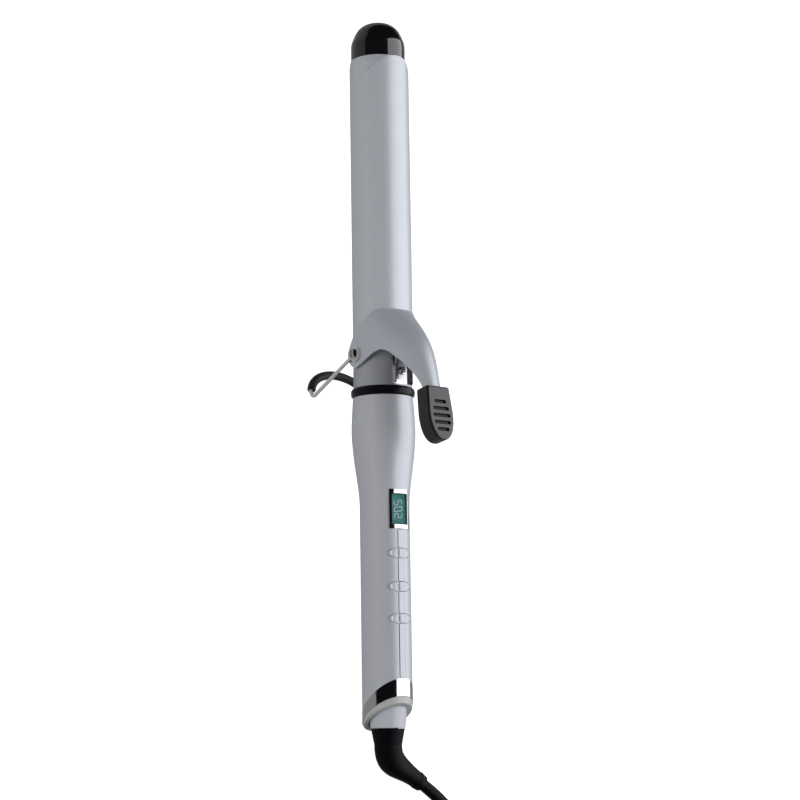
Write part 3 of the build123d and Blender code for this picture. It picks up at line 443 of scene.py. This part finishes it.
def ring_at(point, heading, side, radius, count, swell=None):
    """One ring of a round tube; swell(angle) is added to its radius."""
    heading = heading.normalized()
    side = (side - heading * side.dot(heading)).normalized()
    third = heading.cross(side)
    ring = []
    for step in range(count):
        angle = 2 * pi * step / count
        reach = (radius + (swell(angle) if swell else 0.0)) * MM
        ring.append(point + (side * cos(angle) + third * sin(angle)) * reach)
    return ring


# the elbow boot: a tapered rubber sleeve from the swivel's cone to the lead, with a rolled lip
CONE_END, BOOT_R, BOOT_END_R = -210.0, 7.4, 4.5
BOOT_TURN = radians(57)
BOOT_LEAD_IN, BOOT_LEAD_OUT = 11, 20        # how far the elbow's line is drawn straight at each end
TAPER_FROM = 0.25                           # share of the boot's length where it starts to narrow
LIP_AT, LIP_HALF, LIP_RISE = 0.95, 0.035, 0.35
BOOT_RINGS, BOOT_SIDES = 56, 40
vertical = Vector((0, 0, 1))
boot_exit = Vector(CORD_EXIT) * MM
boot_way = -along * cos(BOOT_TURN) - across * sin(BOOT_TURN)
boot_start = iron(CONE_END, 0, 0)
boot_grips = (boot_start, boot_start - along * BOOT_LEAD_IN * MM,
              boot_exit - boot_way * BOOT_LEAD_OUT * MM, boot_exit)


def boot_point(share):
    """A point of the elbow's smooth line, and its heading there."""
    rest = 1 - share
    weights = (rest ** 3, 3 * rest * rest * share, 3 * rest * share * share, share ** 3)
    slopes = (-rest * rest, rest * rest - 2 * rest * share, 2 * rest * share - share * share, share * share)
    return (sum((grip * weight for grip, weight in zip(boot_grips, weights)), Vector()),
            sum((grip * slope for grip, slope in zip(boot_grips, slopes)), Vector()))


boot_rings = []
for step in range(BOOT_RINGS + 1):
    share = step / BOOT_RINGS
    spot, heading = boot_point(share)
    radius = BOOT_R + (BOOT_END_R - BOOT_R) * eased((share - TAPER_FROM) / (1 - TAPER_FROM)) ** 1.4
    radius += LIP_RISE * max(0.0, 1 - abs(share - LIP_AT) / LIP_HALF)
    boot_rings.append(ring_at(spot, heading, vertical, radius, BOOT_SIDES))
for radius in (BOOT_END_R - 0.5, CORD_R - 0.3):
    boot_rings.append(ring_at(boot_exit + boot_way * 0.25 * MM, boot_way, vertical, radius, BOOT_SIDES))
boot = new_piece("elbow_boot", skin(boot_rings), "root", "cord_rubber", "strain_relief")

# the stand's foot: a braided sleeve over the wire's half-oval loop
FOOT_HALF, FOOT_BULGE, SLEEVE_R, WIRE_R = 20.6, 17.3, 2.45, 1.05
CORNER = (-21.2, -36.4)             # the loop's corners, in x and z
LEG = (CORNER[0] - PIVOT_X, CORNER[1])
bulge = (-LEG[1] / hypot(*LEG), LEG[0] / hypot(*LEG))       # square to the legs, in x and z
SLEEVE_EDGE = 0.27                  # the bare wire at each corner, in radians of the loop
STRANDS, BRAID_TURNS, BRAID_RISE = 6, 21, 0.16
HEM_RINGS, HEM_DROP = 2.5, 0.7      # the sleeve draws in over its last rings
SLEEVE_RINGS, SLEEVE_SIDES = 150, 48


def foot_spot(angle):
    """A point of the loop, and its heading there."""
    out, step_out = FOOT_BULGE * sin(angle), FOOT_BULGE * cos(angle)
    spot = iron(CORNER[0] + out * bulge[0], FOOT_HALF * cos(angle), CORNER[1] + out * bulge[1])
    return spot, way(step_out * bulge[0], -FOOT_HALF * sin(angle), step_out * bulge[1])


def braid(lay, hem):
    """The swell of one ring of the sleeve, where its strands have turned by this much."""
    return lambda angle: BRAID_RISE * sin(STRANDS * angle + lay) * sin(STRANDS * angle - lay) + hem


plane_side = way(-bulge[1], 0, bulge[0])
sleeve_rings, inner_rings = [], []
for step in range(SLEEVE_RINGS + 1):
    share = step / SLEEVE_RINGS
    spot, heading = foot_spot(SLEEVE_EDGE + (pi - 2 * SLEEVE_EDGE) * share)
    end = min(share, 1 - share) * SLEEVE_RINGS
    hem = -HEM_DROP * (1 - end / HEM_RINGS) ** 2 if end < HEM_RINGS else 0.0
    swell = braid(share * 2 * pi * BRAID_TURNS, hem)
    sleeve_rings.append(ring_at(spot, heading, plane_side, SLEEVE_R - BRAID_RISE, SLEEVE_SIDES, swell))
    inner_rings.append(ring_at(spot, heading, plane_side, WIRE_R + 0.05, SLEEVE_SIDES))
new_piece("stand_braid", skin(sleeve_rings + inner_rings[::-1], closed=True), "stand",
          "sleeve_black", "stand_sleeve")

# the clamp's leaf spring: a flat strip along the channel, a bend, and a tongue up under the lever
LEAF_T, LEAF_W, LEAF_EDGE = 0.6, 5.6, 0.15
LEAF_START, LEAF_FLOOR, FLOOR_STEP = -17.0, 17.05, 0.93
BEND_R, BEND_TURN = 3.2, 118                # the bend's radius, and its turn in degrees
TONGUE_LEAN, TONGUE_RISE = 0.53, 12         # back per mm of height, and its height
TONGUE_TAPER, TAPER_STEPS = 0.35, 4         # its end narrows by this share over its last steps
LEAF_STEPS = 14                             # along the channel, and again round the bend
leaf_line = [(LEAF_START + FLOOR_STEP * step, LEAF_FLOOR) for step in range(LEAF_STEPS)]
bend_x = leaf_line[-1][0]
for step in range(1, LEAF_STEPS + 1):
    angle = radians(BEND_TURN * step / LEAF_STEPS)
    leaf_line.append((bend_x + BEND_R * sin(angle), LEAF_FLOOR + BEND_R * (1 - cos(angle))))
top_x, top_z = leaf_line[-1]
leaf_line += [(top_x - TONGUE_LEAN * run, top_z + run) for run in range(1, TONGUE_RISE + 1)]
leaf_rings = []
for index, (x, z) in enumerate(leaf_line):
    x0, z0 = leaf_line[max(index - 1, 0)]
    x1, z1 = leaf_line[min(index + 1, len(leaf_line) - 1)]
    size = hypot(x1 - x0, z1 - z0)
    normal_x, normal_z = -(z1 - z0) / size, (x1 - x0) / size
    to_end = len(leaf_line) - 1 - index
    half = LEAF_W / 2
    if to_end < TAPER_STEPS:
        half *= 1 - TONGUE_TAPER * (1 - to_end / TAPER_STEPS) ** 2
    inner = half - LEAF_EDGE
    thin = LEAF_T / 2
    ring = []
    for y, off in ((half, 0.5), (inner, 1), (-inner, 1), (-half, 0.5),
                   (-half, -0.5), (-inner, -1), (inner, -1), (half, -0.5)):
        ring.append(iron(x + normal_x * thin * off, y, z + normal_z * thin * off))
    leaf_rings.append(ring)
leaf = new_piece("leaf_spring", skin(leaf_rings), "root", "spring_steel", "clamp_spring", smooth=False)
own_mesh(leaf)

# the temperature on the display: seven-segment figures that lean, read from the side
SEGMENTS = {"2": "ABGED", "0": "ABCDEF", "5": "AFGCD"}
FIGURE_W, FIGURE_H, FIGURE_PITCH, STROKE, SLANT = 2.3, 5.0, 3.5, 0.5, 0.16
FIGURE_Z, FIGURE_T = 11.715, 0.02
BAR_GAP = 0.12
BEZEL_X = -86.25


def figure_bar(shell, x, y, length, upright):
    """Add one pointed bar of a figure, as a thin slab on the display glass."""
    end, half = length / 2, STROKE / 2
    tips = ((-end, 0), (-end + half, half), (end - half, half),
            (end, 0), (end - half, -half), (-end + half, -half))
    layers = []
    for z in (FIGURE_Z - FIGURE_T / 2, FIGURE_Z + FIGURE_T / 2):
        layer = []
        for u, v in tips:
            figure_x, figure_y = (x + v, y + u) if upright else (x + u, y + v)
            layer.append(iron(BEZEL_X - (figure_x + SLANT * figure_y), figure_y, z))
        layers.append(layer)
    skin(layers, shell=shell)


figures = bmesh.new()
bars = {"A": (0, FIGURE_H / 2, False), "G": (0, 0, False), "D": (0, -FIGURE_H / 2, False),
        "B": (FIGURE_W / 2, FIGURE_H / 4, True), "C": (FIGURE_W / 2, -FIGURE_H / 4, True),
        "F": (-FIGURE_W / 2, FIGURE_H / 4, True), "E": (-FIGURE_W / 2, -FIGURE_H / 4, True)}
for place, figure in enumerate("205"):
    for name in SEGMENTS[figure]:
        x, y, upright = bars[name]
        length = (FIGURE_H / 2 if upright else FIGURE_W) - BAR_GAP
        figure_bar(figures, x + (place - 1) * FIGURE_PITCH, y, length, upright)
new_piece("display_figures", figures, "root", "nub_white", smooth=False)

# the thumb grip: a rounded paddle with finger grooves whose floors are painted dark as shade, in its own
# axes along, across and out
GRIP_L, GRIP_T, GRIP_RISE = 29.4, 9.4, radians(9)
GRIP_ROOT = (-26.0, 38.2)   # the root of its underside, in x and z
GRIP_CORNER = 0.6           # how far the root's corners are rounded
GRIP_SHOULDER = 14.0        # where the sides start to round into the end
ROOT_HALF, SHOULDER_HALF = 7.5, 8.4         # half widths
GRIP_ROUND = 0.86           # power that makes the end's round a little squarer than an ellipse
GROOVES = (8.0, 10.8, 11.6, 11.2, 8.0)      # lengths across the grip, from its root
GROOVE_START, GROOVE_PITCH, GROOVE_W, GROOVE_DEPTH, GROOVE_SIDES = 8.6, 3.8, 2.1, 1.3, 16


def grip_spot(s, w, h):
    """A point of the grip: s along it, w across and h out of its underside."""
    x = GRIP_ROOT[0] - s * cos(GRIP_RISE) + h * sin(GRIP_RISE)
    z = GRIP_ROOT[1] + s * sin(GRIP_RISE) + h * cos(GRIP_RISE)
    return iron(x, w, z)


def grip_outline():
    """The paddle's outline, as (along, across): from its root corner round the end and back."""
    near = [(0.15, 7.0), (0.0, 6.6), (0.0, -6.6), (0.15, -7.0), (GRIP_CORNER, -7.45)]
    for step in range(1, 15):
        s = GRIP_CORNER + (GRIP_SHOULDER - GRIP_CORNER) * step / 15
        near.append((s, -ROOT_HALF - (SHOULDER_HALF - ROOT_HALF) * s / GRIP_SHOULDER))
    for step in range(37):
        angle = pi / 2 * step / 36
        near.append((GRIP_SHOULDER + (GRIP_L - GRIP_SHOULDER) * sin(angle) ** GRIP_ROUND,
                     -SHOULDER_HALF * cos(angle) ** GRIP_ROUND))
    far = [(s, -w) for s, w in near[5:-1]]
    return near + far[::-1] + [(GRIP_CORNER, 7.45)]


def inset(outline, depth):
    """The outline drawn in by a depth, along its own normals."""
    drawn = []
    for index, (s, w) in enumerate(outline):
        s0, w0 = outline[index - 1]
        s1, w1 = outline[(index + 1) % len(outline)]
        size = hypot(s1 - s0, w1 - w0) or 1.0
        drawn.append((s - (w1 - w0) / size * depth, w + (s1 - s0) / size * depth))
    return drawn


def groove(shell, index, width, low, high):
    """Add one slot with round ends across the grip, between two heights above its underside."""
    layers = []
    for height in (low, high):
        layer = []
        for turn in range(GROOVE_SIDES):
            angle = 2 * pi * turn / GROOVE_SIDES + pi / GROOVE_SIDES
            end = (GROOVES[index] - width) / 2 * (1 if sin(angle) > 0 else -1)
            layer.append(grip_spot(GROOVE_START + GROOVE_PITCH * index + width / 2 * cos(angle),
                                   end + width / 2 * sin(angle), height))
        layers.append(layer)
    skin(layers, shell=shell)


def cut_away(piece, cutter):
    """Cut a closed bmesh out of a piece, and leave its faces flat."""
    bmesh.ops.recalc_face_normals(cutter, faces=cutter.faces)
    cutter_mesh = bpy.data.meshes.new("cutter")
    cutter.to_mesh(cutter_mesh)
    cutter.free()
    cutter_object = bpy.data.objects.new("cutter", cutter_mesh)
    bpy.context.scene.collection.objects.link(cutter_object)
    modifier = piece.modifiers.new("grooves", "BOOLEAN")
    modifier.object = cutter_object
    modifier.solver = "EXACT"
    bpy.context.view_layer.update()
    cut_mesh = bpy.data.meshes.new_from_object(piece.evaluated_get(bpy.context.evaluated_depsgraph_get()))
    piece.modifiers.clear()
    piece.data = cut_mesh
    bpy.data.objects.remove(cutter_object)
    for polygon in piece.data.polygons:
        polygon.use_smooth = False


outline = grip_outline()
grip_rings = []
for height, depth in ((0.0, 0.7), (0.2, 0.25), (0.7, 0.0), (GRIP_T - 1.3, 0.0), (GRIP_T - 0.75, 0.14),
                      (GRIP_T - 0.3, 0.48), (GRIP_T - 0.05, 0.95), (GRIP_T, 1.3)):
    grip_rings.append([grip_spot(s, w, height) for s, w in inset(outline, depth)])
grip = new_piece("thumb_paddle", skin(grip_rings), "clamp", "grip_black", "thumb_grip")
# each groove's floor is a duller black piece, painted shade that keeps the groove dark under the light
cutter, shade_floors = bmesh.new(), bmesh.new()
groove_floor = GRIP_T - GROOVE_DEPTH
for index in range(len(GROOVES)):
    groove(cutter, index, GROOVE_W, groove_floor, GRIP_T + 1)
    groove(shade_floors, index, GROOVE_W + 0.2, groove_floor - 0.3, groove_floor + 0.2)
new_piece("grip_groove_shade", shade_floors, "clamp", "ring_black", smooth=False)
cut_away(grip, cutter)

# each key carries the strip's rib across its dish, and thin black bars beside the strip are painted shade
# for the narrow gaps along its edges
KEYS = (("key_power", -109.8), ("key_up", -127.5), ("key_down", -144.4))
strip_slot = slot_of(nodes["control_strip"])
RIB_FOOT = 12.9
RIB = ((-1.4, RIB_FOOT), (-1.4, 13.5), (-1.15, 13.68), (-0.6, 13.76),       # its section, in y and z
       (0.6, 13.76), (1.15, 13.68), (1.4, 13.5), (1.4, RIB_FOOT))
RIB_RUN = ((-2.5, 0.14), (-2.3, 0), (0, 0), (2.3, 0), (2.5, 0.14))          # x, and how far its top drops
# section of one painted shade bar, in y and z, and the spans it runs between the keys
SHADE_BAR = ((1.70, 13.1), (1.70, 13.58), (1.84, 13.56), (1.84, 13.1))           # section, in y and z
SHADE_BAR_SPANS = ((-97.6, -106.8), (-112.8, -124.5), (-130.5, -141.4), (-147.4, -174.9))
for body, key_x in KEYS:
    rib_rings = [[iron(key_x + x, y, z - drop * (z > RIB_FOOT)) for y, z in RIB] for x, drop in RIB_RUN]
    new_piece(body + "_rib", skin(rib_rings), body, strip_slot)
# black bars along both edges of the strip, painted as the shade in its gaps
for side_name, side in (("near", 1), ("far", -1)):
    lines = bmesh.new()
    for start, end in SHADE_BAR_SPANS:
        rings = [[iron(x, side * y, z) for y, z in SHADE_BAR] for x in (start, (start + end) / 2, end)]
        skin(rings, shell=lines)
    new_piece("strip_painted_shade_" + side_name, lines, "root", "ring_black", smooth=False)

# the tie round the wound lead: a woven strap
STRAP_STEPS = 44
SQUARENESS = 0.32           # power that rounds the strap's corners: 1 is an ellipse, 0 a rectangle
COIL_W, COIL_H = 8 * CORD_R, 4 * CORD_R
tie_y = COIL_CENTRE[1] - COIL_MEAN_R


def squared(value):
    """A sine or cosine drawn towards a square's corner."""
    return abs(value) ** SQUARENESS * (1 if value > 0 else -1)


strap_rings = []
for rim, sunk in ((-1, 0.35), (-0.82, 0.0), (0.82, 0.0), (1, 0.35), (1, 0.85), (-1, 0.85)):
    ring = []
    for step in range(STRAP_STEPS):
        angle = 2 * pi * step / STRAP_STEPS
        reach_y = (COIL_W / 2 + TIE_T + 0.05 - sunk) * squared(cos(angle))
        reach_z = (COIL_H / 2 + TIE_T - sunk) * squared(sin(angle))
        ring.append(Vector((COIL_CENTRE[0] + rim * TIE_W / 2, tie_y + reach_y,
                            COIL_H / 2 + TIE_T + reach_z)) * MM)
    strap_rings.append(ring)
strap = new_piece("tie_strap", skin(strap_rings, closed=True), "root", "tie_black", "cord_tie")

for node in nodes.values():
    node.material_slots[0].material = FINISHES[slot_of(node)]
dress(power_lead, "cord_rubber")

# ---------------------------------------------------------------- floor and light
def by_ray(tree, plain, mirrored, seen, output):
    """Choose what a surface shows: one shader to the camera, one to reflections, one to other rays."""
    rays = tree.nodes.new("ShaderNodeLightPath")
    shown = plain
    for ray, shader in (("Is Glossy Ray", mirrored), ("Is Camera Ray", seen)):
        mix = tree.nodes.new("ShaderNodeMixShader")
        tree.links.new(rays.outputs[ray], mix.inputs["Fac"])
        tree.links.new(shown, mix.inputs[1])
        tree.links.new(shader, mix.inputs[2])
        shown = mix.outputs["Shader"]
    tree.links.new(shown, tree.nodes[output].inputs["Surface"])


def stage_material():
    """A white table: pure white to the camera, and a soft grey in the iron's reflections."""
    material = bpy.data.materials.new("table_white")
    material.use_nodes = True
    tree = material.node_tree
    plain = tree.nodes["Principled BSDF"]
    plain.inputs["Base Color"].default_value = (0.40, 0.40, 0.41, 1)
    plain.inputs["Roughness"].default_value = 0.8
    bright = tree.nodes.new("ShaderNodeEmission")
    bright.inputs["Color"].default_value = (1, 1, 1, 1)
    bright.inputs["Strength"].default_value = 0.86
    lit = tree.nodes.new("ShaderNodeBsdfDiffuse")
    lit.inputs["Color"].default_value = (0.45, 0.45, 0.45, 1)
    seen = tree.nodes.new("ShaderNodeAddShader")
    tree.links.new(bright.outputs["Emission"], seen.inputs[0])
    tree.links.new(lit.outputs["BSDF"], seen.inputs[1])
    grey = tree.nodes.new("ShaderNodeEmission")
    grey.inputs["Color"].default_value = (0.33, 0.33, 0.335, 1)
    by_ray(tree, plain.outputs["BSDF"], grey.outputs["Emission"], seen.outputs["Shader"], "Material Output")
    return material


bpy.ops.mesh.primitive_plane_add(size=12)
floor = bpy.context.object
floor.name = "floor"
floor.data.materials.append(stage_material())

world = bpy.data.worlds.new("studio")
bpy.context.scene.world = world
world.use_nodes = True
sky = world.node_tree.nodes["Background"]
sky.inputs["Color"].default_value = (0.10, 0.10, 0.105, 1)
black = world.node_tree.nodes.new("ShaderNodeBackground")
black.inputs["Color"].default_value = (0.006, 0.006, 0.007, 1)
white = world.node_tree.nodes.new("ShaderNodeBackground")
white.inputs["Color"].default_value = (1, 1, 1, 1)
by_ray(world.node_tree, sky.outputs["Background"], black.outputs["Background"],
       white.outputs["Background"], "World Output")

LIGHT_X = -10.0             # the middle of every light, along the iron


def softbox(name, turn, distance, width, length, power, colour=(1, 1, 1), mirrored=True):
    """A rectangular light beside the iron, turned round its axis from the camera towards the right."""
    light = bpy.data.lights.new(name, "AREA")
    light.shape = "RECTANGLE"
    light.size, light.size_y = width * MM, length * MM
    light.energy = power
    light.color = colour
    lamp = bpy.data.objects.new(name, light)
    bpy.context.scene.collection.objects.link(lamp)
    outwards = facing * cos(radians(turn)) + sideways * sin(radians(turn))
    sidestep = outwards.cross(along)
    lamp.matrix_world = (Matrix.Translation(iron(LIGHT_X, 0, 0) + outwards * distance * MM)
                         @ Matrix((sidestep, along, outwards)).transposed().to_4x4())
    lamp.visible_camera = False
    lamp.visible_glossy = mirrored


softbox("right_softbox", 84, 900, 1500, 1700, 20, colour=(0.97, 0.98, 1.0))
softbox("front_fill", -20, 1300, 900, 1400, 7.5, mirrored=False)
softbox("left_fill", -46, 1300, 500, 1400, 10, mirrored=False)

bpy.context.scene.view_settings.view_transform = "Standard"

# ---------------------------------------------------------------- the end
bpy.context.view_layer.update()
